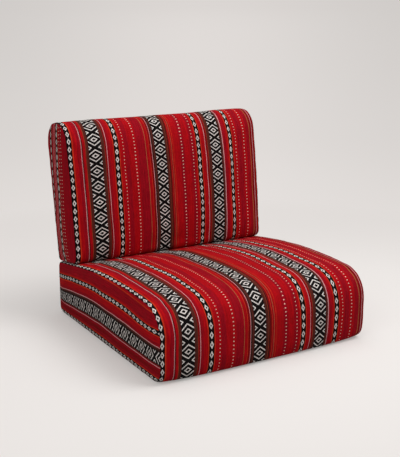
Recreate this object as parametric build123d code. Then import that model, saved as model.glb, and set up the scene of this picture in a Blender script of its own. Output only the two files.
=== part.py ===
from build123d import *
import os
from math import cos, radians, sin, tan

# Majlis floor sofa: a thick seat cushion on the floor and a back cushion that stands on its rear.
# The origin is the middle of the seat's base. The sofa faces -Y, and +Z is up.
os.makedirs("parts", exist_ok=True)

# Seat cushion, seen from the side
seat_width = 700.0
seat_depth = 700.0
seat_front_height = 207.0
seat_rear_height = 172.0
seat_top_bow = 18.5
seat_front_radius = 67.0
seat_rear_radius = 20.0
seat_base_radius = 22.0
seat_top_crown = 14.0
seat_front_crown = 8.0
seat_side_bulge = 8.0

# Back cushion, standing on the seat and leaning back
back_width = 696.0
back_height = 446.0
back_thickness = 155.0
back_lean_degrees = 8.5
back_top_radius = 70.0
back_base_radius = 14.0
back_front_crown = 11.0
back_top_crown = 2.0
back_side_bulge = 6.0
ledge_margin = 7.0
bed_clearance = 0.3

# Cloth and filling, from the outside in
cover_thickness = 1.6
seam_bow = 2.0
base_seam_margin = 6.0
layer_gap = 0.3
wadding_thickness = 8.0
foam_edge_radius = 3.0
groove_margin = 1.0
groove_depth = 2.0

# Zip of each cover, along X in the cushion's rear face
zip_height = 46.0
zip_end_margin = 60.0
tape_width = 12.0
tape_thickness = 1.0
tape_recess = 0.3
tape_gap = 0.2
coil_pitch = 8.0
coil_reach = 3.4
coil_overlap = 1.2
coil_spine = 0.8
coil_thickness = 2.0
coil_play = 0.4
stop_margin = 4.0
slider_length = 13.0
slider_wall = 1.1
slider_clearance = 0.3
slider_end_gap = 0.5
wedge_width = 2.4
wedge_length = 3.0
wedge_clearance = 0.3
stop_length = 2.6
stop_width = 2.2
ear_thickness = 1.4
ear_length = 3.6
pin_radius = 0.7
pin_clearance = 0.15
eye_wall = 0.8
pull_length = 27.0
pull_width = 6.0
pull_neck_width = 3.2
pull_thickness = 1.2
pull_hole_radius = 1.5
pull_corner_radius = 2.0

# Places across the width where a cushion's outline is drawn, and how much of its crown it has there
station_shares = (-1, -0.8, -0.45, 0, 0.45, 0.8, 1)
crown_shares = (0, 0.36, 0.8, 1, 0.8, 0.36, 0)
# Steps of the domed end: how far it stands out, and how large the outline still is
dome_rise_shares = (0, 0.62, 1)
dome_size_shares = (1, 0.9, 0.7)
# How much of the seat's crown its front edge has, and how round a back cushion's top can be
shoulder_share = 0.4
roundest_share = 0.92

lean = radians(back_lean_degrees)
ledge_depth = back_thickness * cos(lean) + ledge_margin
ledge_end_height = seat_rear_height + ledge_depth * tan(lean)
seat_rear = seat_depth / 2
seat_front = -seat_depth / 2
overrun = seat_depth


def seat_outline(inset, crown):
    """Corners, edge bows and corner radii of the seat's side view, drawn inwards by inset."""
    front = seat_front - seat_front_crown * crown + inset
    front_top = seat_front_height + shoulder_share * seat_top_crown * crown - inset
    corners = (
        (front, inset),
        (seat_rear - inset, inset),
        (seat_rear - inset, seat_rear_height + inset * tan(lean) - inset / cos(lean)),
        (seat_rear - ledge_depth, ledge_end_height - inset / cos(lean)),
        (front, front_top),
    )
    bows = (0, 0, 0, seat_top_bow + (1 - shoulder_share) * seat_top_crown * crown, seam_bow)
    radii = (seat_base_radius, seat_base_radius, seat_rear_radius, 0, seat_front_radius)
    return corners, bows, radii


def back_outline(inset, crown):
    """The same for the upright back cushion, whose rear face is at y = 0 and whose base is at z = 0."""
    front = -back_thickness + inset
    top = back_height + back_top_crown * crown - inset
    corners = ((front, inset), (-inset, inset), (-inset, top), (front, top))
    bows = (0, 0, 0, seam_bow + back_front_crown * crown)
    top_radius = min(back_top_radius, roundest_share * back_thickness / 2)
    radii = (back_base_radius, back_base_radius, top_radius, top_radius)
    return corners, bows, radii


def section(outline, x, inset, crown, size_share):
    """One closed outline of lines and arcs across the cushion at x."""
    corners, bows, radii = outline(inset, crown)
    ys = [y for y, z in corners]
    zs = [z for y, z in corners]
    middle = Vector(x, (min(ys) + max(ys)) / 2, (min(zs) + max(zs)) / 2)
    points = [middle + (Vector(x, y, z) - middle) * size_share for y, z in corners]
    edges = []
    for start, end, bow in zip(points, points[1:] + points[:1], bows):
        run = end - start
        outward = Vector(0, run.Z, -run.Y).normalized()
        if bow == 0:
            edges.append(Edge.make_line(start, end))
        else:
            top = start + run / 2 + outward * bow * size_share
            edges.append(Edge.make_three_point_arc(start, top, end))
    face = Face(Wire(edges))
    for point, radius in zip(points, radii):
        if radius == 0:
            continue
        corner = face.vertices().sort_by(lambda vertex: (Vector(*vertex) - point).length)[0]
        face = face.fillet_2d(max(radius - inset, foam_edge_radius) * size_share, [corner])
    return face.outer_wire()


def body_solid(outline, width, inset):
    """The cushion between its two side seams, crowned across the width."""
    half = width / 2
    wires = [
        section(outline, half * share, inset, crown, 1)
        for share, crown in zip(station_shares, crown_shares)
    ]
    return Solid.make_loft(wires, ruled=True)


def dome_solid(outline, width, bulge, inset, side):
    """The bulged end outside one side seam; side is -1 on the left and 1 on the right."""
    wires = [
        section(outline, side * (width / 2 + (bulge - inset) * rise), inset, 0, size)
        for rise, size in zip(dome_rise_shares, dome_size_shares)
    ]
    return Solid.make_loft(wires, ruled=True)


def whole_solid(outline, width, bulge, inset):
    """A cushion shape with both of its domed ends."""
    body = body_solid(outline, width, inset)
    left = dome_solid(outline, width, bulge, inset, -1)
    right = dome_solid(outline, width, bulge, inset, 1)
    return body.fuse(left, right)


def block(x_range, y_range, z_range):
    """A box between two values on each axis."""
    sizes = [high - low for low, high in (x_range, y_range, z_range)]
    middle = [(low + high) / 2 for low, high in (x_range, y_range, z_range)]
    return Solid.make_box(*sizes).moved(Location([m - s / 2 for m, s in zip(middle, sizes)]))


def one_solid(shape):
    """The largest solid of a cut, as a plain solid."""
    return max(shape.solids(), key=lambda solid: solid.volume)


def side_panel(outline, width, bulge, side):
    """A domed panel of cover cloth, with its rim in the plane of the side seam."""
    outer = dome_solid(outline, width, bulge, 0, side)
    inner = dome_solid(outline, width, bulge, cover_thickness, side)
    return one_solid(outer.cut(inner))


def cover_tube(outline, width):
    """The cover between its side seams, before it is cut into its panels."""
    return body_solid(outline, width, 0).cut(body_solid(outline, width, cover_thickness))


def strip_solid(width, base_end, rear, radius):
    """The strip from the base seam round the rear edge and up to the zip, across the whole width."""
    inner = rear - cover_thickness
    outside = FilletPolyline(
        (0, base_end, 0), (0, rear, 0), (0, rear, zip_height), radius=radius
    )
    inside = FilletPolyline(
        (0, base_end, cover_thickness), (0, inner, cover_thickness), (0, inner, zip_height),
        radius=radius - cover_thickness,
    )
    base_edge = Edge.make_line((0, base_end, 0), (0, base_end, cover_thickness))
    zip_edge = Edge.make_line((0, rear, zip_height), (0, inner, zip_height))
    face = Face(Wire([*outside.edges(), zip_edge, *inside.edges(), base_edge]))
    return Solid.extrude(face, Vector(width, 0, 0)).moved(Location((-width / 2, 0, 0)))


def cover_panels(outline, width, front, rear, base_radius):
    """The wrap panel, the base cloth and the strip under the zip, cut from one tube of cloth."""
    tube = cover_tube(outline, width)
    across = (-overrun, overrun)
    slot_half = width / 2 - zip_end_margin
    slot = block(
        (-slot_half, slot_half),
        (rear - base_radius, rear + overrun),
        (zip_height - tape_width, zip_height + tape_width),
    )
    base_start = front + base_radius + base_seam_margin
    base_end = rear - base_radius - base_seam_margin
    base_room = block(across, (base_start, base_end), (-overrun, cover_thickness))
    strip_room = block(across, (base_end, rear + overrun), (-overrun, zip_height))
    half = width / 2
    base = block((-half, half), (base_start, base_end), (0, cover_thickness))
    strip = one_solid(strip_solid(width, base_end, rear, base_radius).cut(slot))
    wrap = one_solid(tube.cut(base_room, strip_room, slot))
    return wrap, base, strip


def fillings(outline, width, bulge, rear):
    """The foam core and the wadding round it, grooved behind the zip."""
    wadding_inset = cover_thickness + layer_gap
    hollow_inset = wadding_inset + wadding_thickness
    hollow_width = width - 2 * wadding_thickness
    foam = body_solid(outline, hollow_width - 2 * layer_gap, hollow_inset + layer_gap)
    wadding = whole_solid(outline, width, bulge, wadding_inset)
    wadding = wadding.cut(body_solid(outline, hollow_width, hollow_inset))
    groove_half = width / 2 - zip_end_margin + groove_margin
    groove_reach = coil_reach + slider_clearance + slider_wall + groove_margin
    groove = block(
        (-groove_half, groove_half),
        (rear - wadding_inset - groove_depth, rear),
        (zip_height - groove_reach, zip_height + groove_reach),
    )
    return foam, one_solid(wadding.cut(groove))


# The zip is drawn lying in the plane y = 0 of the cover's outer face, with +Y outwards and its
# middle line on the X axis. It is closed, with the slider at its +X end.
tape_outer = -tape_recess
tape_inner = tape_outer - tape_thickness
coil_outer = tape_outer + coil_thickness
plate_outer = coil_outer + slider_clearance + slider_wall
plate_inner = tape_inner - slider_clearance - slider_wall
slider_half_width = coil_reach + slider_clearance + slider_wall
eye_radius = pin_radius + pin_clearance + eye_wall
pin_height = plate_outer + eye_radius + slider_clearance


def zip_half_length(width):
    return width / 2 - zip_end_margin


def slider_nose(width):
    """The slider's leading end when the zip is closed, next to the end stops."""
    return zip_half_length(width) - stop_margin - stop_length - slider_end_gap


def zip_tape(width, side):
    """One half of the zip's tape, with its edge drawn back where the slider's wedge parts it."""
    half = zip_half_length(width)
    edges = sorted((side * tape_gap / 2, side * tape_width))
    tape = block((-half, half), (tape_inner, tape_outer), edges)
    part_start = slider_nose(width) - wedge_length - wedge_clearance
    part_edge = wedge_width / 2 + wedge_clearance
    parting = block((part_start, half + overrun), (tape_inner, tape_outer), (-part_edge, part_edge))
    return one_solid(tape.cut(parting))


def zip_coil(width, side):
    """One row of the coil: a spine along the tape with an element every pitch."""
    start = -slider_nose(width)
    end = slider_nose(width) - wedge_length - slider_clearance
    step = coil_pitch / 2
    first = start if side > 0 else start + step
    count = int((end - first) / coil_pitch)
    spine_inner = coil_reach - coil_spine
    points = [(start, coil_reach), (start, spine_inner)]
    for index in range(count):
        x = first + index * coil_pitch + coil_play / 2
        far = x + step - coil_play
        points += [(x, spine_inner), (x, -coil_overlap), (far, -coil_overlap), (far, spine_inner)]
    points.append((far, coil_reach))
    corners = [Vector(x, tape_outer, side * z) for x, z in points]
    face = Face(Wire.make_polygon(corners, close=True))
    return Solid.extrude(face, Vector(0, coil_thickness, 0))


def zip_stops(width):
    """Two stops beyond the closed slider and one across the other end of the coil."""
    start = slider_nose(width) + slider_end_gap
    inner = wedge_width / 2 + wedge_clearance
    rows = (tape_outer, coil_outer)
    top = block((start, start + stop_length), rows, (inner, inner + stop_width))
    bottom = block((start, start + stop_length), rows, (-inner - stop_width, -inner))
    end = -slider_nose(width) - slider_end_gap
    last = block((end - stop_length, end), rows, (-coil_reach, coil_reach))
    return Compound([top, bottom, last])


def zip_slider(width):
    """Two plates joined by the wedge, flanges beside the coil, and ears that hold the pull's pin."""
    nose = slider_nose(width)
    along = (nose - slider_length, nose)
    across = (-slider_half_width, slider_half_width)
    outer_plate = block(along, (plate_outer - slider_wall, plate_outer), across)
    inner_plate = block(along, (plate_inner, plate_inner + slider_wall), across)
    wedge = block(
        (nose - wedge_length, nose),
        (plate_inner, plate_outer),
        (-wedge_width / 2, wedge_width / 2),
    )
    slider = outer_plate.fuse(inner_plate, wedge)
    flange_foot = tape_outer + slider_clearance
    pin_x = pull_axis_x(width)
    for side in (-1, 1):
        beside = sorted((side * (slider_half_width - slider_wall), side * slider_half_width))
        slider = slider.fuse(block(along, (flange_foot, plate_outer), beside))
        ear_inner = pull_neck_width / 2 + slider_clearance
        ear = block(
            (pin_x - ear_length / 2, pin_x + ear_length / 2),
            (plate_outer - slider_wall, pin_height + eye_wall + pin_radius),
            sorted((side * ear_inner, side * (ear_inner + ear_thickness))),
        )
        slider = slider.fuse(ear)
    pin_half = pull_neck_width / 2 + slider_clearance + ear_thickness
    pin = Solid.make_cylinder(pin_radius, 2 * pin_half, Plane((pin_x, pin_height, -pin_half)))
    return one_solid(slider.fuse(pin))


def pull_axis_x(width):
    """The pull's hinge stands over the middle of the slider."""
    return slider_nose(width) - slider_length / 2


def zip_pull(width):
    """A flat tab lying along the zip, with an eye round the slider's pin."""
    pin_x = pull_axis_x(width)
    neck = pull_neck_width / 2
    neck_end = pin_x - eye_radius - slider_length / 2
    tip = pin_x - pull_length
    thick = (pin_height - pull_thickness / 2, pin_height + pull_thickness / 2)
    eye = Solid.make_cylinder(eye_radius, pull_neck_width, Plane((pin_x, pin_height, -neck)))
    shank = block((neck_end, pin_x), thick, (-neck, neck))
    tab = block((tip, neck_end), thick, (-pull_width / 2, pull_width / 2))
    corners = tab.edges().filter_by(Axis.Y)
    tab = tab.fillet(pull_corner_radius, corners)
    pull = eye.fuse(shank, tab)
    bore = Solid.make_cylinder(
        pin_radius + pin_clearance, pull_width, Plane((pin_x, pin_height, -pull_width / 2))
    )
    hole_x = tip + pull_width / 2
    hole_plane = Plane((hole_x, pin_height - pull_thickness, 0), z_dir=(0, 1, 0))
    hole = Solid.make_cylinder(pull_hole_radius, 2 * pull_thickness, hole_plane)
    return one_solid(pull.cut(bore, hole))


def zip_parts(name, width):
    """Every piece of one zip, by node name."""
    return {
        name + "_zip_upper_tape": zip_tape(width, 1),
        name + "_zip_lower_tape": zip_tape(width, -1),
        name + "_zip_upper_coil": zip_coil(width, 1),
        name + "_zip_lower_coil": zip_coil(width, -1),
        name + "_zip_end_stops": zip_stops(width),
        name + "_zip_slider": zip_slider(width),
        name + "_zip_pull": zip_pull(width),
    }


def cushion(name, outline, width, bulge, front, rear, base_radius):
    """Every piece of one cushion, by node name, in the cushion's own upright frame."""
    wrap, base, strip = cover_panels(outline, width, front, rear, base_radius)
    foam, wadding = fillings(outline, width, bulge, rear)
    pieces = {
        name + "_foam_core": foam,
        name + "_fibre_wadding": wadding,
        name + "_wrap_panel": wrap,
        name + "_left_side_panel": side_panel(outline, width, bulge, -1),
        name + "_right_side_panel": side_panel(outline, width, bulge, 1),
        name + "_base_cloth": base,
        name + "_rear_strip": strip,
    }
    seat_the_zip = Location((0, rear, zip_height))
    for node, piece in zip_parts(name, width).items():
        pieces[node] = piece.moved(seat_the_zip)
    return pieces


seat = cushion(
    "seat", seat_outline, seat_width, seat_side_bulge, seat_front, seat_rear, seat_base_radius
)
upright_back = cushion(
    "back", back_outline, back_width, back_side_bulge, -back_thickness, 0, back_base_radius
)

# The back stands on the sloping ledge at the seat's rear, its base parallel to the ledge.
back_place = Location(
    (0, seat_rear + bed_clearance * sin(lean), seat_rear_height + bed_clearance * cos(lean)),
    (-back_lean_degrees, 0, 0),
)
back = {node: piece.moved(back_place) for node, piece in upright_back.items()}

for node, piece in {**seat, **back}.items():
    piece.label = node
    export_step(piece, "parts/" + node + ".step")
    print(node, round(piece.volume), "mm3")
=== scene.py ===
import math

import bmesh
import bpy
import numpy as np
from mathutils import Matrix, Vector, noise


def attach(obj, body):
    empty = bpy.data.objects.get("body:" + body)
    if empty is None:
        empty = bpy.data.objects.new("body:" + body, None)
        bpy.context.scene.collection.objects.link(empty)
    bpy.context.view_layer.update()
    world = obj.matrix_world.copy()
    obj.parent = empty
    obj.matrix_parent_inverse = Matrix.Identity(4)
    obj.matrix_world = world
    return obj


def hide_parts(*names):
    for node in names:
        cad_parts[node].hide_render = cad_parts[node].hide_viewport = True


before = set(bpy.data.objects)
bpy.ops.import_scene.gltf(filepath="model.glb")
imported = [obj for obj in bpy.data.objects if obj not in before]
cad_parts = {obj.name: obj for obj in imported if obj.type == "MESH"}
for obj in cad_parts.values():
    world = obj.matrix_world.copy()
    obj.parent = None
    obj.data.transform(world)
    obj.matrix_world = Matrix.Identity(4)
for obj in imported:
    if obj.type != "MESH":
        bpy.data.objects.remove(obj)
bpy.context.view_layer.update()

print("frame loaded")

mm = 0.001


def linear(hexColour, alpha=1.0):
    # sRGB hex to the linear values that the nodes want
    parts = [int(hexColour[k:k + 2], 16) / 255 for k in (1, 3, 5)]
    return [p / 12.92 if p <= 0.04045 else ((p + 0.055) / 1.055) ** 2.4 for p in parts] + [alpha]


def addNode(tree, kind, inputs={}, **settings):
    # an input is a value, a node (its first output) or an output socket
    node = tree.nodes.new(kind)
    for name, value in settings.items():
        setattr(node, name, value)
    for socket, source in inputs.items():
        if isinstance(source, bpy.types.Node):
            source = source.outputs[0]
        if isinstance(source, bpy.types.NodeSocket):
            tree.links.new(source, node.inputs[socket])
        else:
            node.inputs[socket].default_value = source
    return node


def newMaterial(name):
    material = bpy.data.materials.new(name)
    material.use_nodes = True
    material.node_tree.nodes.clear()
    return material, material.node_tree


def smooth(values):
    t = np.clip(values, 0, 1)
    return t * t * (3 - 2 * t)


# yarn colours of the woven cloth
yarn = {
    "black": "#0E0B0B",
    "white": "#E2DAD5",
    "cream": "#E9BCAA",
    "red": "#AC0A14",
    "crimson": "#970A1A",
    "deep": "#820810",
    "orange": "#C8331A",
    "rust": "#93361F",
    "tan": "#A6603C",
    "pink": "#D9989A",
    "brown": "#54261F",
    "bark": "#2E1915",
}

# where each stripe starts across the cloth, in mm from the middle of the cushion
wrapCloth = {
    "low": -364, "high": 364,
    "bands": [
        (-364, "crimson"), (-352.5, "black"), (-335.5, "orange"), (-332, "red"), (-320, "crimson"),
        (-310, "pink"), (-307.8, "bark"), (-306, "deep"), (-304, "red"), (-297.5, "rust"), (-295.5, "brown"),
        (-288, "black"), (-249, "brown"), (-240, "rust"), (-238.5, "deep"), (-233, "pink"), (-230.8, "crimson"),
        (-222, "red"), (-209, "orange"), (-206, "black"), (-189, "orange"), (-186, "red"), (-166, "crimson"),
        (-150, "red"), (-118, "crimson"), (-92, "tan"), (-90, "red"), (-80, "orange"), (-77.5, "deep"),
        (-70, "pink"), (-68.5, "bark"), (-64, "brown"), (-57.5, "black"), (-17, "brown"), (-9, "rust"),
        (-7, "bark"), (-4, "deep"), (2, "orange"), (4, "crimson"), (9, "tan"), (11, "red"), (17, "orange"),
        (19, "red"), (42, "crimson"), (58, "red"), (78, "crimson"), (93, "red"), (100, "orange"),
        (103, "black"), (119.3, "orange"), (122, "red"), (135.5, "pink"), (137.5, "deep"), (144.5, "rust"),
        (146, "brown"), (155.5, "black"), (195.5, "brown"), (203, "pink"), (205.2, "crimson"), (216, "red"),
        (224.5, "orange"), (227, "black"), (244, "orange"), (247, "red"), (266, "crimson"), (284, "red"),
        (306, "crimson"), (322, "tan"), (324.5, "deep"), (334, "pink"), (336, "deep"), (342.5, "orange"),
        (345, "black"),
    ],
    "big": [-268.2, -37.1, 175.2],
    "small": [-343.8, -197.4, 111.0, 235.5, 353.0],
    "dots": [-170.9, -126.6, 50.8, 88.0, 258.1, 292.2],
    "stretch": 1.0,
}
# the seat's length of the same cloth shows its diamonds a little longer
seatWrapCloth = dict(wrapCloth, stretch=0.885)

# the seat's boxed sides: height across, length along
seatSideCloth = {
    "low": -60, "high": 260,
    "bands": [
        (-60, "crimson"), (3, "black"), (20, "orange"), (23, "crimson"), (36, "deep"), (48, "crimson"),
        (57, "pink"), (59, "deep"), (63, "brown"), (67, "black"), (110, "bark"), (114, "brown"),
        (119.5, "pink"), (122, "crimson"), (132, "red"), (150, "orange"), (153, "black"), (168, "orange"),
        (171, "red"), (176, "crimson"), (207, "orange"), (211, "red"), (216, "crimson"),
    ],
    "big": [88.5],
    "small": [11.5, 160.5],
    "dots": [],
    "stretch": 1.0,
}

# the back's boxed sides: depth from the rear across, height along
backSideCloth = {
    "low": -60, "high": 240,
    "bands": [
        (-60, "red"), (-10, "crimson"), (3, "black"), (19, "orange"), (21.5, "crimson"), (34, "pink"),
        (36.5, "red"), (46, "pink"), (48.5, "deep"), (54, "bark"), (70, "orange"), (73, "crimson"),
        (100, "red"), (104, "crimson"), (140, "deep"),
    ],
    "big": [],
    "small": [11, 62],
    "dots": [80, 92],
    "stretch": 1.0,
}

# the picked patterns, in mm
motif = {
    "bigPitch": 49.3,          # one concentric diamond after another
    "bigSlope": 0.70,          # how steep the diamond's sides are
    "bigHalfWidth": 18.6,
    "innerRing": (6.3, 1.8),   # reach along the stripe, half the line's width
    "outerRing": (18.2, 1.8),
    "arrow": (8.0, 1.7),       # reach beyond half the pitch, half the line's width
    "smallPitch": 24.0,
    "smallHalf": (6.0, 10.0),
    "smallRing": (0.72, 0.28),  # as shares of the small diamond
    "dotPitch": 11.0,
    "dotHalf": (1.8, 1.9),
    "step": 1.0,               # the picked pattern turns in steps of one thread pair
}

# unevenness of the hand weaving: mm of drift, and the pitch of ribs and picks
weaving = {
    "bendAcross": 7.0, "bendAlong": 16.0, "ragged": 1.6,
    "ribPitch": 2.2,           # coarser than the real 1 mm, so that the ribs show
    "pickPitch": 3.1, "pickShare": 0.35,
    "streakShade": (0.60, 1.36), "fleckShade": (0.88, 1.12), "roughness": (0.82, 0.95),
    "bands": 24,               # colours in one ramp, which holds 32 at most
}


def saduCloth(name, cloth):
    # warp-faced woven wool: matt, a little fuzzy, with fine ribs along the stripes
    material, tree = newMaterial(name)
    place = addNode(tree, "ShaderNodeUVMap", uv_map="clothPlace")
    parts = addNode(tree, "ShaderNodeSeparateXYZ", {0: place})
    # slow bends of the stripes, and threads that are uneven every 4 mm or so
    drift = addNode(tree, "ShaderNodeTexNoise", {0: place, "Scale": 6.5, "Detail": 1.0})
    driftOff = addNode(tree, "ShaderNodeMath", {0: drift, 1: -0.5}, operation="ADD")
    ragged = addNode(tree, "ShaderNodeTexNoise", {0: place, "Scale": 260.0, "Detail": 2.0})
    raggedOff = addNode(tree, "ShaderNodeMath", {0: ragged, 1: -0.5}, operation="ADD")
    acrossPlain = addNode(tree, "ShaderNodeMath", {0: parts.outputs[0], 1: 1000.0}, operation="MULTIPLY")
    acrossBent = addNode(
        tree, "ShaderNodeMath", {0: driftOff, 1: weaving["bendAcross"], 2: acrossPlain}, operation="MULTIPLY_ADD")
    across = addNode(
        tree, "ShaderNodeMath", {0: raggedOff, 1: weaving["ragged"], 2: acrossBent}, operation="MULTIPLY_ADD")
    alongPlain = addNode(tree, "ShaderNodeMath", {0: parts.outputs[1], 1: 1000.0}, operation="MULTIPLY")
    alongBent = addNode(
        tree, "ShaderNodeMath", {0: driftOff, 1: weaving["bendAlong"], 2: alongPlain}, operation="MULTIPLY_ADD")

    # the plain stripes, from as many ramps as their number needs
    bands = cloth["bands"]
    colour = None
    for first in range(0, len(bands), weaving["bands"]):
        after = first + weaving["bands"]
        group = bands[first:after]
        low = group[0][0]
        high = bands[after][0] if after < len(bands) else cloth["high"]
        share = addNode(tree, "ShaderNodeMapRange", {0: across, 1: low, 2: high, 3: 0.0, 4: 1.0})
        ramp = addNode(tree, "ShaderNodeValToRGB", {0: share})
        stops = ramp.color_ramp
        stops.interpolation = "CONSTANT"
        stops.elements.remove(stops.elements[1])
        stops.elements[0].position = 0.0
        stops.elements[0].color = linear(yarn[group[0][1]])
        for start, shade in group[1:]:
            stops.elements.new((start - low) / (high - low)).color = linear(yarn[shade])
        if colour is None:
            colour = ramp.outputs[0]
        else:
            beyond = addNode(tree, "ShaderNodeMath", {0: across, 1: low}, operation="GREATER_THAN")
            colour = addNode(tree, "ShaderNodeMix", {0: beyond, 6: colour, 7: ramp}, data_type="RGBA").outputs[2]

    # the picked patterns turn in steps, as threads do
    acrossStep = addNode(tree, "ShaderNodeMath", {0: acrossBent, 1: motif["step"]}, operation="SNAP")
    alongStep = addNode(tree, "ShaderNodeMath", {0: alongBent, 1: motif["step"]}, operation="SNAP")
    alongMarks = addNode(tree, "ShaderNodeMath", {0: alongStep, 1: cloth["stretch"]}, operation="MULTIPLY")

    def distanceTo(centres):
        # mm from the nearest of several middle lines
        nearest = None
        for centre in centres:
            offset = addNode(tree, "ShaderNodeMath", {0: acrossStep, 1: centre}, operation="SUBTRACT")
            distance = addNode(tree, "ShaderNodeMath", {0: offset}, operation="ABSOLUTE")
            if nearest is None:
                nearest = distance
            else:
                nearest = addNode(tree, "ShaderNodeMath", {0: nearest, 1: distance}, operation="MINIMUM")
        return nearest

    marks = []
    if cloth["big"]:
        # two rings round each middle, and an arrowhead at both edges between the diamonds
        u = distanceTo(cloth["big"])
        halfPitch = motif["bigPitch"] / 2
        v = addNode(tree, "ShaderNodeMath", {0: alongMarks, 1: halfPitch}, operation="PINGPONG")
        slant = addNode(tree, "ShaderNodeMath", {0: u, 1: motif["bigSlope"], 2: v}, operation="MULTIPLY_ADD")
        arrow = (halfPitch + motif["arrow"][0], motif["arrow"][1])
        drawn = None
        for reach, half in (motif["innerRing"], motif["outerRing"], arrow):
            line = addNode(tree, "ShaderNodeMath", {0: slant, 1: reach, 2: half}, operation="COMPARE")
            if drawn is None:
                drawn = line
            else:
                drawn = addNode(tree, "ShaderNodeMath", {0: drawn, 1: line}, operation="MAXIMUM")
        within = addNode(tree, "ShaderNodeMath", {0: u, 1: motif["bigHalfWidth"]}, operation="LESS_THAN")
        marks.append(addNode(tree, "ShaderNodeMath", {0: drawn, 1: within}, operation="MULTIPLY"))
    if cloth["small"]:
        s = distanceTo(cloth["small"])
        w = addNode(tree, "ShaderNodeMath", {0: alongMarks, 1: motif["smallPitch"] / 2}, operation="PINGPONG")
        sShare = addNode(tree, "ShaderNodeMath", {0: s, 1: motif["smallHalf"][0]}, operation="DIVIDE")
        lozenge = addNode(
            tree, "ShaderNodeMath", {0: w, 1: 1 / motif["smallHalf"][1], 2: sShare}, operation="MULTIPLY_ADD")
        reach, half = motif["smallRing"]
        marks.append(addNode(tree, "ShaderNodeMath", {0: lozenge, 1: reach, 2: half}, operation="COMPARE"))
    if marks:
        white = marks[0]
        if len(marks) == 2:
            white = addNode(tree, "ShaderNodeMath", {0: marks[0], 1: marks[1]}, operation="MAXIMUM")
        colour = addNode(
            tree, "ShaderNodeMix", {0: white, 6: colour, 7: linear(yarn["white"])}, data_type="RGBA").outputs[2]
    if cloth["dots"]:
        t = distanceTo(cloth["dots"])
        beat = addNode(tree, "ShaderNodeMath", {0: alongStep, 1: motif["dotPitch"] / 2}, operation="PINGPONG")
        near = addNode(tree, "ShaderNodeMath", {0: t, 1: motif["dotHalf"][0]}, operation="LESS_THAN")
        on = addNode(tree, "ShaderNodeMath", {0: beat, 1: motif["dotHalf"][1]}, operation="LESS_THAN")
        dot = addNode(tree, "ShaderNodeMath", {0: near, 1: on}, operation="MULTIPLY")
        colour = addNode(
            tree, "ShaderNodeMix", {0: dot, 6: colour, 7: linear(yarn["cream"])}, data_type="RGBA").outputs[2]

    # dye runs unevenly along each yarn: long streaks and short flecks
    stretch = addNode(tree, "ShaderNodeMapping", {0: place, "Scale": (420.0, 14.0, 1.0)})
    streak = addNode(tree, "ShaderNodeTexNoise", {0: stretch, "Scale": 1.0, "Detail": 3.0, "Roughness": 0.6})
    fleck = addNode(tree, "ShaderNodeTexNoise", {0: place, "Scale": 55.0, "Detail": 4.0, "Roughness": 0.7})
    dark, pale = weaving["streakShade"]
    streakShade = addNode(tree, "ShaderNodeMapRange", {0: streak, 1: 0.25, 2: 0.75, 3: dark, 4: pale})
    dark, pale = weaving["fleckShade"]
    fleckShade = addNode(tree, "ShaderNodeMapRange", {0: fleck, 1: 0.3, 2: 0.7, 3: dark, 4: pale})
    level = addNode(tree, "ShaderNodeMath", {0: streakShade, 1: fleckShade}, operation="MULTIPLY")
    tinted = addNode(tree, "ShaderNodeVectorMath", {0: colour, "Scale": level}, operation="SCALE")

    # ribs of the warp, crossed by the picks
    rib = addNode(tree, "ShaderNodeMath", {0: across, 1: 2 * math.pi / weaving["ribPitch"]}, operation="MULTIPLY")
    ribWave = addNode(tree, "ShaderNodeMath", {0: rib}, operation="SINE")
    pick = addNode(
        tree, "ShaderNodeMath", {0: alongPlain, 1: 2 * math.pi / weaving["pickPitch"]}, operation="MULTIPLY")
    pickWave = addNode(tree, "ShaderNodeMath", {0: pick}, operation="SINE")
    weave = addNode(
        tree, "ShaderNodeMath", {0: pickWave, 1: weaving["pickShare"], 2: ribWave}, operation="MULTIPLY_ADD")
    height = addNode(tree, "ShaderNodeMath", {0: ragged, 1: 2.4, 2: weave}, operation="MULTIPLY_ADD")
    bump = addNode(tree, "ShaderNodeBump", {"Strength": 0.35, "Distance": 0.0006, "Height": height})
    smoothest, roughest = weaving["roughness"]
    rough = addNode(tree, "ShaderNodeMapRange", {0: fleck, 1: 0.3, 2: 0.7, 3: smoothest, 4: roughest})
    shader = addNode(tree, "ShaderNodeBsdfPrincipled", {
        "Base Color": tinted.outputs[0], "Roughness": rough.outputs[0], "Normal": bump.outputs[0],
        "Specular IOR Level": 0.06,
    })
    addNode(tree, "ShaderNodeOutputMaterial", {0: shader})
    return material


def cottonLining(name, hexColour):
    # plain-woven cotton: flat, dry and dull, with a small even grid of threads
    material, tree = newMaterial(name)
    place = addNode(tree, "ShaderNodeUVMap", uv_map="clothPlace")
    parts = addNode(tree, "ShaderNodeSeparateXYZ", {0: place})
    threadPitch = 0.0018
    waves = []
    for axis in (0, 1):
        turn = addNode(
            tree, "ShaderNodeMath", {0: parts.outputs[axis], 1: 2 * math.pi / threadPitch}, operation="MULTIPLY")
        waves.append(addNode(tree, "ShaderNodeMath", {0: turn}, operation="SINE"))
    grid = addNode(tree, "ShaderNodeMath", {0: waves[0], 1: waves[1]}, operation="MULTIPLY")
    mottle = addNode(tree, "ShaderNodeTexNoise", {0: place, "Scale": 40.0, "Detail": 4.0})
    level = addNode(tree, "ShaderNodeMapRange", {0: mottle, 1: 0.3, 2: 0.7, 3: 0.85, 4: 1.15})
    tone = addNode(tree, "ShaderNodeVectorMath", {0: linear(hexColour)[:3], "Scale": level}, operation="SCALE")
    bump = addNode(tree, "ShaderNodeBump", {"Strength": 0.4, "Distance": 0.0004, "Height": grid})
    shader = addNode(tree, "ShaderNodeBsdfPrincipled", {
        "Base Color": tone.outputs[0], "Roughness": 0.92, "Normal": bump.outputs[0],
    })
    addNode(tree, "ShaderNodeOutputMaterial", {0: shader})
    return material


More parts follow.
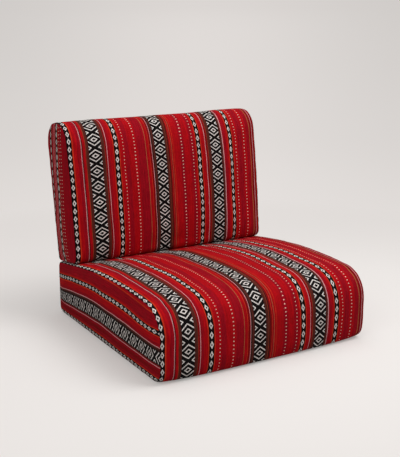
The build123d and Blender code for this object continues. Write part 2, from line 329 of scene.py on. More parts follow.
seatWrapMaterial = saduCloth("saduSeatWrapWool", seatWrapCloth)
backWrapMaterial = saduCloth("saduBackWrapWool", wrapCloth)
seatSideMaterial = saduCloth("saduSeatSideWool", seatSideCloth)
backSideMaterial = saduCloth("saduBackSideWool", backSideCloth)
liningMaterial = cottonLining("cottonBaseCloth", "#5E1A1C")
pocketMaterial = cottonLining("cottonZipPlacket", "#3A0C10")
print("cloth materials made")


def lengths(line):
    return np.concatenate([[0.0], np.cumsum(np.hypot(*np.diff(line, axis=0).T))])


def along(line, places):
    s = lengths(line)
    return np.stack([np.interp(places, s, line[:, k]) for k in (0, 1)], -1)


def outline(corners, radii, bows):
    # closed side outline, counter-clockwise: bowed runs joined by round bends
    corners = [np.array(c, float) for c in corners]
    count = len(corners)
    runs, bends = [], []
    for k in range(count):
        a, b = corners[k], corners[(k + 1) % count]
        t = np.linspace(0, 1, 90)[:, None]
        d = b - a
        out = np.array([d[1], -d[0]]) / np.hypot(*d)
        runs.append(a + d * t + out * bows[k] * 4 * t * (1 - t))
    cuts, arms = [], []
    for k in range(count):
        before, after = runs[k - 1], runs[k]
        u = before[-1] - before[-2]
        w = after[1] - after[0]
        turn = abs(math.atan2(u[0] * w[1] - u[1] * w[0], u @ w))
        cuts.append(radii[k] * math.tan(turn / 2))
        arms.append(4 / 3 * math.tan(turn / 4) * radii[k])
    trimmed = []
    for k in range(count):
        total = lengths(runs[k])[-1]
        trimmed.append(along(runs[k], np.linspace(cuts[k], total - cuts[(k + 1) % count], 90)))
    for k in range(count):
        start, end = trimmed[k - 1][-1], trimmed[k][0]
        u = trimmed[k - 1][-1] - trimmed[k - 1][-2]
        w = trimmed[k][1] - trimmed[k][0]
        p1 = start + u / np.hypot(*u) * arms[k]
        p2 = end - w / np.hypot(*w) * arms[k]
        t = np.linspace(0, 1, 25)[:, None]
        bends.append((1 - t) ** 3 * start + 3 * t * (1 - t) ** 2 * p1 + 3 * t ** 2 * (1 - t) * p2 + t ** 3 * end)
    return trimmed, bends


def chain(runs, bends, first, last):
    # the line from the middle of one bend to the middle of another
    line = [bends[first][12:]]
    k = first
    while True:
        line.append(runs[k][1:])
        k = (k + 1) % len(runs)
        if k == last:
            line.append(bends[k][1:13])
            return np.concatenate(line)
        line.append(bends[k][1:])


def ringOf(cushion, crown):
    # one loop of points round the cushion: under, rear, top, front
    runs, bends = outline(cushion["corners"](crown), cushion["radii"](crown), cushion["bows"](crown))
    nA, nB = cushion["rowsDeep"], cushion["rowsHigh"]
    bottom = chain(runs, bends, 0, 1)
    rear = chain(runs, bends, 1, 2)
    top = chain(runs, bends, 2, len(runs) - 1)
    front = chain(runs, bends, len(runs) - 1, 0)
    rearLength = lengths(rear)
    zipStops = [float(np.interp(z, rear[:, 1], rearLength)) for z in cushion["zipRows"]]
    stops = [0.0] + zipStops + [rearLength[-1]]
    places = [0.0]
    for k, rows in enumerate(cushion["rearRows"]):
        places += list(np.linspace(stops[k], stops[k + 1], rows + 1)[1:])
    ring = [along(bottom, np.linspace(0, lengths(bottom)[-1], nA + 1))[:-1]]
    ring.append(along(rear, np.array(places))[:-1])
    ring.append(along(top, np.linspace(0, lengths(top)[-1], nA + 1))[:-1])
    ring.append(along(front, np.linspace(0, lengths(front)[-1], nB + 1))[:-1])
    return np.concatenate(ring)


def inward(ring, amount):
    ahead = np.roll(ring, -1, axis=0) - np.roll(ring, 1, axis=0)
    out = np.stack([ahead[:, 1], -ahead[:, 0]], -1) / np.hypot(*ahead.T)[:, None]
    return ring - out * amount


# how far in from a seam the cover is held, rolled over and fully free, in metres
seam = {
    "heldTo": 0.002, "freeOver": 0.022, "rollReach": 0.008, "sideFreeOver": 0.024, "farOff": 0.05,
    "sideFullness": (2.6, 2.2), "measuredAt": 0.6,
}


def cushionMesh(cushion):
    nA, nB = cushion["rowsDeep"], cushion["rowsHigh"]
    loop = 2 * (nA + nB)
    half = cushion["width"] / 2
    spread = np.linspace(cushion["zipMargin"], half, cushion["columns"])
    fromSeam = np.concatenate([np.array(cushion["seamSteps"]), spread])
    stations = np.concatenate([-half + fromSeam, (half - fromSeam)[::-1][1:]])
    points, give, edge, ringAt = [], [], [], []
    middleRing = ringOf(cushion, seam["measuredAt"])
    s = lengths(np.vstack([middleRing, middleRing[:1]]))
    alongRow = -(s - s[2 * nA + nB])          # zero on the front top edge, growing towards the rear
    for x in stations:
        e = half - abs(x)
        crown = 1 - (x / half) ** 2
        ring = ringOf(cushion, crown)
        fall = max(0.0, 1 - e / cushion["edgeReach"])
        ring = inward(ring, cushion["edgeDrop"] * fall ** 2 + (cushion["pinch"] if e == 0 else 0.0))
        seamX = cushion["seamBack"] * max(0.0, 1 - e / seam["rollReach"]) ** 2
        xx = x - math.copysign(seamX, x)
        points.append(np.column_stack([np.full(loop, xx), ring]))
        give.append(cushion["give"](np.full(loop, x), ring) * smooth((e - seam["heldTo"]) / seam["freeOver"]))
        edge.append(np.full(loop, e))
        ringAt.append(np.arange(loop))
    faces, kinds, places = [], [], []
    total = s[-1]
    flat = cushion["flatRows"]
    zipLow, zipHigh = nA + cushion["rearRows"][0], nA + sum(cushion["rearRows"][:3])
    for i in range(len(stations) - 1):
        inZip = abs(stations[i] + stations[i + 1]) / 2 < half - cushion["zipMargin"]
        for j in range(loop):
            k = (j + 1) % loop
            faces.append((i * loop + j, i * loop + k, (i + 1) * loop + k, (i + 1) * loop + j))
            kind = 0
            if flat <= j < nA - flat:
                kind = 2
            elif zipLow <= j < zipHigh and inZip:
                kind = 3
            kinds.append(kind)
            if kind == 0:
                # the front strip of the underside goes on from the front
                more = -total if j < nA / 2 else 0.0
                r0, r1 = alongRow[j] + more, alongRow[j + 1] + more
                x0, x1 = cushion["across"](stations[i]), cushion["across"](stations[i + 1])
            else:
                here, ahead = points[i][j], points[i][k]
                r0, r1 = here[1], ahead[1] + (0 if kind == 2 else ahead[2] - here[2])
                x0, x1 = stations[i], stations[i + 1]
            places.append([(x0, r0), (x0, r1), (x1, r1), (x1, r0)])
    # the boxed sides
    for hand in (1, -1):
        at = (len(stations) - 1) * loop if hand > 0 else 0
        previous = [at + j for j in range(loop)]
        ring = ringOf(cushion, 0.0)
        for g, out in cushion["sideSteps"]:
            line = inward(ring, cushion["edgeDrop"] + g)
            start = sum(len(p) for p in points)
            points.append(np.column_stack([np.full(loop, hand * (half - cushion["seamBack"] * out)), line]))
            give.append(smooth(np.full(loop, g / seam["sideFreeOver"])) * cushion["sideGive"](line))
            edge.append(np.full(loop, g))
            ringAt.append(np.arange(loop))
            current = [start + j for j in range(loop)]
            for j in range(loop):
                k = (j + 1) % loop
                quad = (previous[j], previous[k], current[k], current[j])
                faces.append(quad if hand > 0 else quad[::-1])
                kinds.append(1)
                places.append(None)
            previous = current
        outer = np.array(points[-1][:, 1:])
        grid = np.zeros((nA + 1, nB + 1), int)
        for i in range(nA + 1):
            grid[i, 0] = previous[i]
            grid[i, nB] = previous[2 * nA + nB - i]
        for j in range(nB + 1):
            grid[nA, j] = previous[nA + j]
            grid[0, j] = previous[(2 * nA + 2 * nB - j) % loop]
        low, high = outer[:nA + 1], outer[nA + nB:2 * nA + nB + 1][::-1]
        right, left = outer[nA:nA + nB + 1], np.vstack([outer[2 * nA + nB:], outer[:1]])[::-1]
        fill = []
        fullDeep, fullHigh = seam["sideFullness"]
        for i in range(1, nA):
            for j in range(1, nB):
                u, v = i / nA, j / nB
                p = (1 - v) * low[i] + v * high[i] + (1 - u) * left[j] + u * right[j]
                lowCorners = (1 - u) * (1 - v) * low[0] + u * (1 - v) * low[nA]
                highCorners = (1 - u) * v * high[0] + u * v * high[nA]
                p = p - (lowCorners + highCorners)
                rise = (1 - abs(2 * u - 1) ** fullDeep) * (1 - abs(2 * v - 1) ** fullHigh)
                grid[i, j] = sum(len(q) for q in points) + len(fill)
                fill.append((hand * (half + cushion["sideBulge"] * rise), p[0], p[1]))
        fill = np.array(fill)
        points.append(fill)
        give.append(cushion["sideGive"](fill[:, 1:]))
        edge.append(np.full(len(fill), seam["farOff"]))
        ringAt.append(np.full(len(fill), -1))
        for i in range(nA):
            for j in range(nB):
                quad = (int(grid[i, j]), int(grid[i + 1, j]), int(grid[i + 1, j + 1]), int(grid[i, j + 1]))
                faces.append(quad if hand > 0 else quad[::-1])
                kinds.append(1)
                places.append(None)
    points = np.concatenate(points)
    side = cushion["sidePlace"](points[:, 1], points[:, 2])
    for k, face in enumerate(faces):
        if places[k] is None:
            places[k] = [tuple(side[v]) for v in face]
    return {
        "points": points, "faces": faces, "kinds": kinds, "places": places,
        "give": np.clip(np.concatenate(give), 0, 1), "edge": np.concatenate(edge),
        "ringAt": np.concatenate(ringAt), "alongRow": alongRow,
    }


def meshFrom(name, shape, points):
    mesh = bpy.data.meshes.new(name)
    mesh.from_pydata([tuple(p) for p in points], [], shape["faces"])
    mesh.polygons.foreach_set("material_index", shape["kinds"])
    mesh.polygons.foreach_set("use_smooth", [True] * len(shape["faces"]))
    layer = mesh.uv_layers.new(name="clothPlace")
    layer.uv.foreach_set("vector", np.array([p for face in shape["places"] for p in face], np.float32).ravel())
    mesh.update()
    return mesh


solver = {
    "steps": 20, "quality": 4, "mass": 0.35, "tension": 22, "compression": 12, "bending": 1.2, "pressure": 4.0,
    "heldBelow": 0.02,
}


def stuffed(name, shape, cushion):
    # cloth under gentle pressure, held at its seams and where it rests; each point moves a few millimetres at most
    points, give = shape["points"], shape["give"]
    mesh = meshFrom(name + "Raw", shape, points)
    normals = np.empty(len(points) * 3, np.float32)
    mesh.vertices.foreach_get("normal", normals)
    normals = normals.reshape(-1, 3)
    cap = cushion["swell"]
    body = bpy.data.objects.new(name + "Raw", mesh)
    bpy.context.scene.collection.objects.link(body)
    pins = body.vertex_groups.new(name="held")
    pins.add([int(k) for k in np.nonzero(give < solver["heldBelow"])[0]], 1.0, "REPLACE")
    cloth = body.modifiers.new("stuffing", "CLOTH")
    cloth.settings.quality = solver["quality"]
    cloth.settings.mass = solver["mass"]
    cloth.settings.tension_stiffness = solver["tension"]
    cloth.settings.compression_stiffness = solver["compression"]
    cloth.settings.bending_stiffness = solver["bending"]
    cloth.settings.use_pressure = True
    cloth.settings.uniform_pressure_force = solver["pressure"]
    cloth.settings.effector_weights.gravity = 0.0
    cloth.settings.vertex_group_mass = "held"
    cloth.point_cache.frame_start = 1
    cloth.point_cache.frame_end = solver["steps"]
    for step in range(1, solver["steps"] + 1):
        bpy.context.scene.frame_set(step)
    seen = body.evaluated_get(bpy.context.evaluated_depsgraph_get()).to_mesh()
    now = np.empty(len(points) * 3, np.float32)
    seen.vertices.foreach_get("co", now)
    moved = now.reshape(-1, 3) - points
    bpy.data.objects.remove(body)
    bpy.context.scene.frame_set(1)
    far = np.linalg.norm(moved, axis=1)
    print(name, "swells by up to", round(float(far.max()) / mm, 1), "mm before it is limited")
    held = cap * np.tanh(far / cap) / np.maximum(far, 1e-9)
    return points + moved * (held * give)[:, None], normals


# how fast the unevenness changes, per metre, and how far the puckers reach from a seam
crease = {"slow": 7.0, "mid": 19.0, "alongSeam": 46.0, "reach": 0.016}


def wrinkled(points, normals, shape, cushion):
    # puckers beside the seams and slow unevenness of the stuffing
    edge, ringAt, give = shape["edge"], shape["ringAt"], shape["give"]
    push = np.zeros(len(points))
    for k, p in enumerate(points):
        slow = noise.noise(Vector(p) * crease["slow"] + Vector(cushion["noiseFrom"]))
        mid = noise.noise(Vector(p) * crease["mid"] + Vector(cushion["noiseFrom"]))
        push[k] = (slow * cushion["lumps"] + mid * cushion["ripples"]) * give[k]
        if ringAt[k] >= 0 and edge[k] < seam["farOff"]:
            place = shape["alongRow"][ringAt[k]]
            hand = 3.7 if p[0] > 0 else 8.1
            beat = noise.noise(Vector((place * crease["alongSeam"], hand, edge[k] * 20)))
            fading = math.exp(-edge[k] / crease["reach"])
            push[k] += beat * cushion["puckers"] * fading * (1 if edge[k] > 0.001 else 0.4)
    return points + normals * push[:, None]


def finishedCover(name, shape, points, cushion, materials):
    mesh = meshFrom(name, shape, points)
    cover = bpy.data.objects.new(name, mesh)
    bpy.context.scene.collection.objects.link(cover)
    for material in materials:
        mesh.materials.append(material)
    finer = cover.modifiers.new("finer", "SUBSURF")
    finer.levels = finer.render_levels = 1
    fine = bpy.data.meshes.new_from_object(cover.evaluated_get(bpy.context.evaluated_depsgraph_get()))
    cover.modifiers.clear()
    cover.data = fine
    fine.name = name
    # the placket behind the zip is a shallow pocket, so that the cover stays closed
    edit = bmesh.new()
    edit.from_mesh(fine)
    pocket = [f for f in edit.faces if f.material_index == 3]
    made = bmesh.ops.extrude_face_region(edit, geom=pocket)
    bmesh.ops.delete(edit, geom=pocket, context="FACES_ONLY")
    floor = [g for g in made["geom"] if isinstance(g, bmesh.types.BMVert)]
    bmesh.ops.translate(edit, verts=floor, vec=Vector((0, -cushion["pocketDepth"], 0)))
    for e in edit.edges:
        steep = [f for f in e.link_faces if abs(f.normal.y) < 0.5 and f.material_index == 3]
        if len(steep) == 1:
            e.smooth = False
    edit.normal_update()
    edit.to_mesh(fine)
    edit.free()
    fine.polygons.foreach_set("use_smooth", [True] * len(fine.polygons))
    return cover


# the seat cushion: its front towards -y, the floor at z = 0
seat = {
    "width": 0.700, "front": -0.350, "rear": 0.350,
    "frontHeight": 0.207, "ledgeFrom": (0.1897, 0.19596), "rearHeight": 0.172,
    "frontBulge": 0.004, "frontRise": 0.003,
    "rowsDeep": 62, "rowsHigh": 18, "columns": 27, "flatRows": 3,
    "zipRows": (0.034, 0.046, 0.058), "rearRows": (3, 1, 1, 13), "zipMargin": 0.060,
    "seamSteps": (0.0, 0.0025, 0.006, 0.011, 0.018, 0.027, 0.037, 0.048),
    "sideSteps": ((0.0028, 0.45), (0.0075, 0.12), (0.014, 0.0), (0.024, -0.25)),
    "edgeReach": 0.013, "edgeDrop": 0.0030, "seamBack": 0.0026, "pinch": 0.0014,
    "sideBulge": 0.004, "swell": 0.0060, "lumps": 0.0034, "ripples": 0.0010, "puckers": 0.0018,
    "noiseFrom": (0.3, 0.9, 0.1), "pocketDepth": 0.0026,
}
seat["corners"] = lambda crown: [
    (seat["front"] - seat["frontBulge"] * crown, 0.0), (seat["rear"], 0.0),
    (seat["rear"], seat["rearHeight"]), seat["ledgeFrom"],
    (seat["front"] - seat["frontBulge"] * crown, seat["frontHeight"] + seat["frontRise"] * crown),
]
# bends at those corners, and how far the runs between them bow out
seat["radii"] = lambda crown: (
    0.020 + 0.024 * (1 - crown) ** 3, 0.022, 0.020, 0.060, 0.092 - 0.025 * min(1.0, crown * 2))
seat["bows"] = lambda crown: [0.0, 0.0, 0.0, 0.0185 + 0.003 * crown, 0.002 + 0.002 * crown]
seat["across"] = lambda x: x


def seatGive(x, ring):
    # no movement under the back cushion, on the floor and round the zip
    y, z = ring[:, 0], ring[:, 1]
    rear = smooth((y - 0.33) / 0.01) * smooth((z - 0.070) / 0.03) * smooth((0.155 - z) / 0.02) * 0.5
    return smooth((0.188 - y) / 0.05) * smooth((z - 0.004) / 0.03) + rear


seat["give"] = seatGive
seat["sideGive"] = lambda ring: smooth((ring[:, 1] - 0.004) / 0.03) * smooth((0.345 - ring[:, 0]) / 0.05)

# how far the side cloth's stripes bow, by the distance from the front
sideBowAt = np.array([-0.01, 0.09, 0.16, 0.30, 0.40, 0.52, 0.65, 0.71])
sideBow = np.polyfit(sideBowAt, [-0.012, -0.007, -0.005, 0.001, 0.001, -0.009, -0.028, -0.038], 4)


def seatSidePlace(y, z):
    fromFront = y - seat["front"]
    bend = np.polyval(sideBow, fromFront)
    return np.column_stack([z - bend * np.clip(z / 0.09, 0, 1), fromFront])


seat["sidePlace"] = seatSidePlace

# the back cushion, in its own upright frame: rear face at y = 0, base at z = 0
back = {
    "width": 0.696, "rear": 0.0, "height": 0.445, "footDepth": 0.145, "topDepth": 0.154,
    "rowsDeep": 16, "rowsHigh": 44, "columns": 27, "flatRows": 2,
    "zipRows": (0.034, 0.046, 0.058), "rearRows": (3, 1, 1, 39), "zipMargin": 0.060,
    "seamSteps": (0.0, 0.0025, 0.006, 0.011, 0.018, 0.027, 0.037, 0.048),
    "sideSteps": ((0.0028, 0.45), (0.0075, 0.12), (0.014, 0.0), (0.022, -0.2)),
    "edgeReach": 0.013, "edgeDrop": 0.0028, "seamBack": 0.0024, "pinch": 0.0013,
    "sideBulge": 0.003, "swell": 0.0055, "lumps": 0.0034, "ripples": 0.0010, "puckers": 0.0017,
    "noiseFrom": (4.1, 2.2, 7.4), "pocketDepth": 0.0026,
    "lean": math.radians(8.5), "foot": (0.350, 0.172), "gap": 0.0003,
}
back["corners"] = lambda crown: [
    (-back["footDepth"], 0.0), (back["rear"], 0.0), (back["rear"], back["height"]), (-back["topDepth"], back["height"]),
]
back["radii"] = lambda crown: (0.026, 0.016, 0.070, 0.070)
back["bows"] = lambda crown: [0.0, 0.0, 0.001, 0.006 + 0.006 * crown]
# the back's cloth lies a little differently: places on it, and the same stripes' places in the table above
backStripeAt = (
    -348, -343.9, -329.4, -299.5, -276, -235.2, -214.6, -192.1, -175, -119.8, -80.2, -49.2, -9.3,
    19.5, 51.6, 107.3, 120.9, 162.1, 199.9, 234.1, 246.3, 296.4, 348)
clothStripeAt = (
    -354.6, -350.5, -336, -307.6, -286.4, -250.4, -230.3, -205.3, -189.4, -126.6, -92.1, -58, -17.4,
    17.8, 50.8, 103.3, 118.8, 156.3, 194.1, 227.2, 243.9, 292.2, 352)
back["across"] = lambda x: float(np.interp(x / mm, backStripeAt, clothStripeAt)) * mm


def backGive(x, ring):
    # no movement at the foot and round the zip
    y, z = ring[:, 0], ring[:, 1]
    rear = smooth((y + 0.01) / 0.01) * smooth((z - 0.075) / 0.06) * 0.8
    return smooth((z - 0.004) / 0.035) * smooth((-0.004 - y) / 0.02) + rear


back["give"] = backGive
back["sideGive"] = lambda ring: smooth((ring[:, 1] - 0.004) / 0.03)


def backSidePlace(y, z):
    return np.column_stack([-y - 0.030 * z / 0.40, z])


back["sidePlace"] = backSidePlace


def stoodUp(points):
    # the back cushion's own frame to the shared one: it leans on the seat's sloping rear
    lean, gap = back["lean"], back["gap"]
    y = back["foot"][0] + gap * math.sin(lean) + points[:, 1] * math.cos(lean) + points[:, 2] * math.sin(lean)
    z = back["foot"][1] + gap * math.cos(lean) - points[:, 1] * math.sin(lean) + points[:, 2] * math.cos(lean)
    return np.column_stack([points[:, 0], y, z])


seatShape = cushionMesh(seat)
seatPoints, seatNormals = stuffed("seatCover", seatShape, seat)
seatPoints = wrinkled(seatPoints, seatNormals, seatShape, seat)
seatMaterials = [seatWrapMaterial, seatSideMaterial, liningMaterial, pocketMaterial]
seatCover = finishedCover("seatCover", seatShape, seatPoints, seat, seatMaterials)
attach(seatCover, "seat_cushion")
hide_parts("seat_wrap_panel", "seat_left_side_panel", "seat_right_side_panel", "seat_base_cloth",
            "seat_rear_strip", "seat_foam_core", "seat_fibre_wadding")
print("seat cushion made")

backShape = cushionMesh(back)
backPoints, backNormals = stuffed("backCover", backShape, back)
backPoints = wrinkled(backPoints, backNormals, backShape, back)
backMaterials = [backWrapMaterial, backSideMaterial, liningMaterial, pocketMaterial]
backCover = finishedCover("backCover", backShape, backPoints, back, backMaterials)
spots = np.empty(len(backCover.data.vertices) * 3, np.float32)
backCover.data.vertices.foreach_get("co", spots)
backCover.data.vertices.foreach_set("co", stoodUp(spots.reshape(-1, 3)).astype(np.float32).ravel())
backCover.data.update()
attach(backCover, "back_cushion")
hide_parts("back_wrap_panel", "back_left_side_panel", "back_right_side_panel", "back_base_cloth",
            "back_rear_strip", "back_foam_core", "back_fibre_wadding")
print("back cushion made")


# topstitching beside each zip
stitch = {
    "length": 0.0034, "gap": 0.0012, "radius": 0.00045, "offset": 0.0045, "endMargin": 0.004,
    "proud": 0.0002, "thread": "#8E1A1E",
}


def stitchRows(name, cushion):
    ball = bmesh.new()
    bmesh.ops.create_uvsphere(ball, u_segments=6, v_segments=4, radius=1.0)
    shell = np.array([v.co[:] for v in ball.verts])
    sheets = [tuple(v.index for v in f.verts) for f in ball.faces]
    ball.free()
    shell = shell[:, [2, 0, 1]] * [stitch["length"] / 2, stitch["radius"], stitch["radius"]]
    reach = cushion["width"] / 2 - cushion["zipMargin"] - stitch["endMargin"]
    pitch = stitch["length"] + stitch["gap"]
    spots, facets = [], []
    for z in (cushion["zipRows"][0] - stitch["offset"], cushion["zipRows"][2] + stitch["offset"]):
        for x in np.arange(-reach, reach, pitch):
            first = sum(len(s) for s in spots)
            spots.append(shell + np.array([x, cushion["rear"] + stitch["proud"], z]))
            facets += [tuple(first + k for k in f) for f in sheets]
    mesh = bpy.data.meshes.new(name)
    placed = np.concatenate(spots)
    if cushion is back:
        placed = stoodUp(placed)
    mesh.from_pydata([tuple(p) for p in placed], [], facets)
    mesh.polygons.foreach_set("use_smooth", [True] * len(facets))
    rows = bpy.data.objects.new(name, mesh)
    bpy.context.scene.collection.objects.link(rows)
    return rows


def sewingThread(name, hexColour):
    # twisted polyester thread: a slight shine and fine diagonal plies
    material, tree = newMaterial(name)
    place = addNode(tree, "ShaderNodeTexCoord")
    plies = addNode(
        tree, "ShaderNodeTexWave", {0: place.outputs["Object"], "Scale": 900.0, "Distortion": 0.4},
        bands_direction="DIAGONAL")
    bump = addNode(tree, "ShaderNodeBump", {"Strength": 0.5, "Distance": 0.0001, "Height": plies.outputs["Fac"]})
    mottle = addNode(tree, "ShaderNodeTexNoise", {0: place.outputs["Object"], "Scale": 120.0})
    level = addNode(tree, "ShaderNodeMapRange", {0: mottle, 1: 0.3, 2: 0.7, 3: 0.85, 4: 1.1})
    tone = addNode(tree, "ShaderNodeVectorMath", {0: linear(hexColour)[:3], "Scale": level}, operation="SCALE")
    shader = addNode(tree, "ShaderNodeBsdfPrincipled", {
        "Base Color": tone.outputs[0], "Roughness": 0.5, "Normal": bump.outputs[0],
    })
    addNode(tree, "ShaderNodeOutputMaterial", {0: shader})
    return material


threadMaterial = sewingThread("polyesterThread", stitch["thread"])
stitched = (("seatZipStitching", seat, "seat_cushion"), ("backZipStitching", back, "back_cushion"))
for name, cushion, body in stitched:
    rows = stitchRows(name, cushion)
    rows.data.materials.append(threadMaterial)
    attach(rows, body)
print("stitching made")


# the zips' CAD pieces keep their shapes and get real finishes
zips = {"tape": "#5C1216", "coil": "#3A1214", "metal": "#8F867A", "tapeThread": 0.0009}


def zipTape(name):
    # woven polyester tape: tight herringbone, faint shine
    material, tree = newMaterial(name)
    place = addNode(tree, "ShaderNodeTexCoord")
    fineness = 2 * math.pi / zips["tapeThread"] / 20
    weave = addNode(
        tree, "ShaderNodeTexWave", {0: place.outputs["Object"], "Scale": fineness, "Distortion": 0.6},
        bands_direction="DIAGONAL")
    mottle = addNode(tree, "ShaderNodeTexNoise", {0: place.outputs["Object"], "Scale": 90.0, "Detail": 3.0})
    level = addNode(tree, "ShaderNodeMapRange", {0: mottle, 1: 0.3, 2: 0.7, 3: 0.82, 4: 1.12})
    tone = addNode(tree, "ShaderNodeVectorMath", {0: linear(zips["tape"])[:3], "Scale": level}, operation="SCALE")
    bump = addNode(tree, "ShaderNodeBump", {"Strength": 0.5, "Distance": 0.0002, "Height": weave.outputs["Fac"]})
    shader = addNode(tree, "ShaderNodeBsdfPrincipled", {
        "Base Color": tone.outputs[0], "Roughness": 0.7, "Normal": bump.outputs[0],
    })
    addNode(tree, "ShaderNodeOutputMaterial", {0: shader})
    return material


def nylonCoil(name):
    # drawn nylon filament: smooth, semi-gloss, dyed to match
    material, tree = newMaterial(name)
    place = addNode(tree, "ShaderNodeTexCoord")
    mottle = addNode(tree, "ShaderNodeTexNoise", {0: place.outputs["Object"], "Scale": 160.0})
    level = addNode(tree, "ShaderNodeMapRange", {0: mottle, 1: 0.3, 2: 0.7, 3: 0.9, 4: 1.1})
    tone = addNode(tree, "ShaderNodeVectorMath", {0: linear(zips["coil"])[:3], "Scale": level}, operation="SCALE")
    rough = addNode(tree, "ShaderNodeMapRange", {0: mottle, 1: 0.3, 2: 0.7, 3: 0.28, 4: 0.42})
    shader = addNode(tree, "ShaderNodeBsdfPrincipled", {"Base Color": tone.outputs[0], "Roughness": rough.outputs[0]})
    addNode(tree, "ShaderNodeOutputMaterial", {0: shader})
    return material


def nickelledZinc(name):
    # die-cast zinc, nickel plated and tumbled: soft highlights, tiny scratches
    material, tree = newMaterial(name)
    place = addNode(tree, "ShaderNodeTexCoord")
    scratch = addNode(tree, "ShaderNodeMapping", {0: place.outputs["Object"], "Scale": (4000.0, 400.0, 400.0)})
    marks = addNode(tree, "ShaderNodeTexNoise", {0: scratch, "Scale": 1.0, "Detail": 4.0})
    rough = addNode(tree, "ShaderNodeMapRange", {0: marks, 1: 0.3, 2: 0.7, 3: 0.24, 4: 0.42})
    level = addNode(tree, "ShaderNodeMapRange", {0: marks, 1: 0.3, 2: 0.7, 3: 0.9, 4: 1.05})
    tone = addNode(tree, "ShaderNodeVectorMath", {0: linear(zips["metal"])[:3], "Scale": level}, operation="SCALE")
    bump = addNode(tree, "ShaderNodeBump", {"Strength": 0.15, "Distance": 0.0001, "Height": marks.outputs[0]})
    shader = addNode(tree, "ShaderNodeBsdfPrincipled", {
        "Base Color": tone.outputs[0], "Metallic": 1.0, "Roughness": rough.outputs[0], "Normal": bump.outputs[0],
    })
    addNode(tree, "ShaderNodeOutputMaterial", {0: shader})
    return material


tapeMaterial, coilMaterial = zipTape("polyesterZipTape"), nylonCoil("nylonZipCoil")
metalMaterial = nickelledZinc("nickelledZinc")
finishes = {
    "zip_upper_tape": tapeMaterial, "zip_lower_tape": tapeMaterial,
    "zip_upper_coil": coilMaterial, "zip_lower_coil": coilMaterial,
    "zip_slider": metalMaterial, "zip_end_stops": metalMaterial, "zip_pull": metalMaterial,
}
for part in ("seat", "back"):
    for ending, material in finishes.items():
        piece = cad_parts[part + "_" + ending]
        if not piece.material_slots:
            piece.data.materials.append(material)
        for holder in piece.material_slots:
            holder.material = material
print("zips finished")


# the studio: pale floor, soft lamps, camera
studio = {
    # the far colour and the stops between are painted shade: the floor's colour darkens with distance where the light
    # falls off
    "floorNear": "#EFEBE8", "floorFarShade": "#DBD6D3", "floorSideShade": "#CFCBC8",
    "floorShadeStops": ((0.022, "#E5E0DD"), (0.06, "#E1DCD9"), (0.20, "#E0DBD8")),  # shares of the way to 60 m
    "floorRadius": 120.0, "floorDrop": 0.0004, "paintRun": (0.4, 60.0),
    "shadowShare": 0.32, "shadowRun": (0.45, 1.8), "thrownBack": 0.5, "sideShadeSlope": 0.25, "sideShadeFrom": 3.4,
    "standPoint": (-1.408, -2.344, 0.0), "toTheRight": (0.8603, -0.5098, 0.0),
    "keyPower": 101, "keyPlace": (2.0, -1.5, 3.6), "keySize": 2.5,
    "fillPower": 38, "fillPlace": (-2.9, -1.8, 2.2), "fillSize": 2.4,
    "topPower": 34, "topPlace": (0.2, 0.3, 3.6), "topSize": 2.4,
    "skyStrength": 0.27, "skyColour": "#FFFDFB", "middle": (0.0, 0.0, 0.25),
}


def seenRays(tree):
    # tells rays that show a surface from rays that only light others
    rays = addNode(tree, "ShaderNodeLightPath").outputs
    straight = addNode(
        tree, "ShaderNodeMath", {0: rays["Is Camera Ray"], 1: rays["Is Glossy Ray"]}, operation="MAXIMUM")
    seen = addNode(tree, "ShaderNodeMath", {0: straight, 1: rays["Is Transmission Ray"]}, operation="MAXIMUM")
    return rays, seen


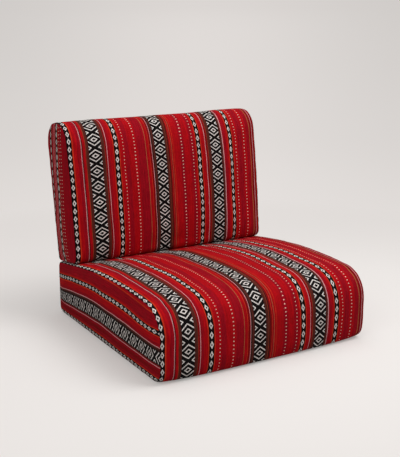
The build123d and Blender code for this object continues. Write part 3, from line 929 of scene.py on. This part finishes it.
def paintedFloor(name):
    # matt floor paint with no pattern; its colour darkens towards a grey with distance, painted shade standing in for
    # the studio light falling off far away
    material, tree = newMaterial(name)
    place = addNode(tree, "ShaderNodeTexCoord").outputs["Object"]
    away = addNode(tree, "ShaderNodeVectorMath", {0: place}, operation="LENGTH").outputs["Value"]
    near, far = studio["paintRun"]
    share = addNode(tree, "ShaderNodeMapRange", {0: away, 1: near, 2: far, 3: 0.0, 4: 1.0})
    ramp = addNode(tree, "ShaderNodeValToRGB", {0: share})
    stops = ramp.color_ramp
    stops.interpolation = "EASE"
    stops.elements[0].color = linear(studio["floorNear"])
    stops.elements[1].color = linear(studio["floorFarShade"])
    for at, shade in studio["floorShadeStops"]:
        stops.elements.new(at).color = linear(shade)
    # painted shade: the floor's colour darkens to both sides, the more the farther off, standing in for the studio
    # light falling off there
    stand = addNode(tree, "ShaderNodeVectorMath", {0: place, 1: studio["standPoint"]}, operation="SUBTRACT")
    sideways = addNode(tree, "ShaderNodeVectorMath", {0: stand, 1: studio["toTheRight"]}, operation="DOT_PRODUCT")
    outward = addNode(tree, "ShaderNodeMath", {0: sideways.outputs["Value"]}, operation="ABSOLUTE")
    gone = addNode(tree, "ShaderNodeVectorMath", {0: stand}, operation="LENGTH").outputs["Value"]
    slope = addNode(tree, "ShaderNodeMath", {0: outward, 1: gone}, operation="DIVIDE")
    aside = addNode(
        tree, "ShaderNodeMapRange", {0: slope, 1: 0.0, 2: studio["sideShadeSlope"], 3: 0.0, 4: 1.0},
        interpolation_type="SMOOTHSTEP")
    closeness = addNode(tree, "ShaderNodeMath", {0: studio["sideShadeFrom"], 1: gone}, operation="DIVIDE")
    farOff = addNode(tree, "ShaderNodeMapRange", {0: closeness, 1: 1.0, 2: 0.0, 3: 0.0, 4: 1.0})
    sideShade = addNode(tree, "ShaderNodeMath", {0: aside, 1: farOff}, operation="MULTIPLY")
    sideShadePaint = linear(studio["floorSideShade"])
    paint = addNode(tree, "ShaderNodeMix", {0: sideShade, 6: ramp, 7: sideShadePaint}, data_type="RGBA").outputs[2]
    # for diffuse rays the floor's colour is scaled down to half, so it throws back only part of its light and the
    # sofa's lower faces stay darker: painted shade
    rays, seen = seenRays(tree)
    bounceShare = addNode(tree, "ShaderNodeMapRange", {0: rays["Is Diffuse Ray"], 3: 1.0, 4: studio["thrownBack"]})
    thrown = addNode(tree, "ShaderNodeVectorMath", {0: paint, "Scale": bounceShare}, operation="SCALE")
    matt = addNode(tree, "ShaderNodeBsdfDiffuse", {0: thrown})
    glow = addNode(tree, "ShaderNodeEmission", {0: paint, 1: 1.0})
    # far floor shows its plain colour, near floor keeps the shadow
    near, far = studio["shadowRun"]
    fade = addNode(tree, "ShaderNodeMapRange", {0: away, 1: near, 2: far, 3: studio["shadowShare"], 4: 1.0})
    part = addNode(tree, "ShaderNodeMath", {0: seen, 1: fade}, operation="MULTIPLY")
    mixed = addNode(tree, "ShaderNodeMixShader", {0: part, 1: matt, 2: glow})
    addNode(tree, "ShaderNodeOutputMaterial", {0: mixed})
    return material


disc = bmesh.new()
bmesh.ops.create_circle(disc, cap_ends=True, segments=96, radius=studio["floorRadius"])
floorMesh = bpy.data.meshes.new("studioFloor")
disc.to_mesh(floorMesh)
disc.free()
studioFloor = bpy.data.objects.new("studioFloor", floorMesh)
bpy.context.scene.collection.objects.link(studioFloor)
studioFloor.location = (0, 0, -studio["floorDrop"])
floorMesh.materials.append(paintedFloor("mattFloorPaint"))

world = bpy.data.worlds.new("studioSky")
bpy.context.scene.world = world
world.use_nodes = True
world.node_tree.nodes.clear()
skyTree = world.node_tree
seen = seenRays(skyTree)[1]
softSky = addNode(skyTree, "ShaderNodeBackground", {0: linear(studio["skyColour"]), 1: studio["skyStrength"]})
# beyond the floor's edge the camera sees the same painted side shade colour
seenSky = addNode(skyTree, "ShaderNodeBackground", {0: linear(studio["floorSideShade"]), 1: 1.0})
skyMix = addNode(skyTree, "ShaderNodeMixShader", {0: seen, 1: softSky, 2: seenSky})
addNode(skyTree, "ShaderNodeOutputWorld", {0: skyMix})


def areaLamp(name, place, power, size, target):
    data = bpy.data.lights.new(name, "AREA")
    data.energy = power
    data.size = size
    lamp = bpy.data.objects.new(name, data)
    lamp.location = place
    lamp.rotation_euler = (Vector(target) - Vector(place)).to_track_quat("-Z", "Y").to_euler()
    bpy.context.scene.collection.objects.link(lamp)


for part in ("key", "fill", "top"):
    areaLamp(part + "Lamp", studio[part + "Place"], studio[part + "Power"], studio[part + "Size"], studio["middle"])

# where the photo was taken from, found by fitting its outline
view = {
    "azimuth": -30.65, "elevation": 14.61, "distance": 2.8158, "target": (-0.0192, 0.00005, 0.3151),
    "lens": 72.13, "sensor": 36.0,
}
turn, rise = math.radians(view["azimuth"]), math.radians(view["elevation"])
towards = Vector((math.sin(turn) * math.cos(rise), -math.cos(turn) * math.cos(rise), math.sin(rise)))
cameraData = bpy.data.cameras.new("photoCamera")
cameraData.sensor_fit = "VERTICAL"
cameraData.sensor_height = view["sensor"]
cameraData.lens = view["lens"]
photoCamera = bpy.data.objects.new("photoCamera", cameraData)
photoCamera.location = Vector(view["target"]) + towards * view["distance"]
photoCamera.rotation_euler = (-towards).to_track_quat("-Z", "Y").to_euler()
bpy.context.scene.collection.objects.link(photoCamera)
bpy.context.scene.camera = photoCamera
bpy.context.scene.view_settings.view_transform = "Standard"
print("studio ready")
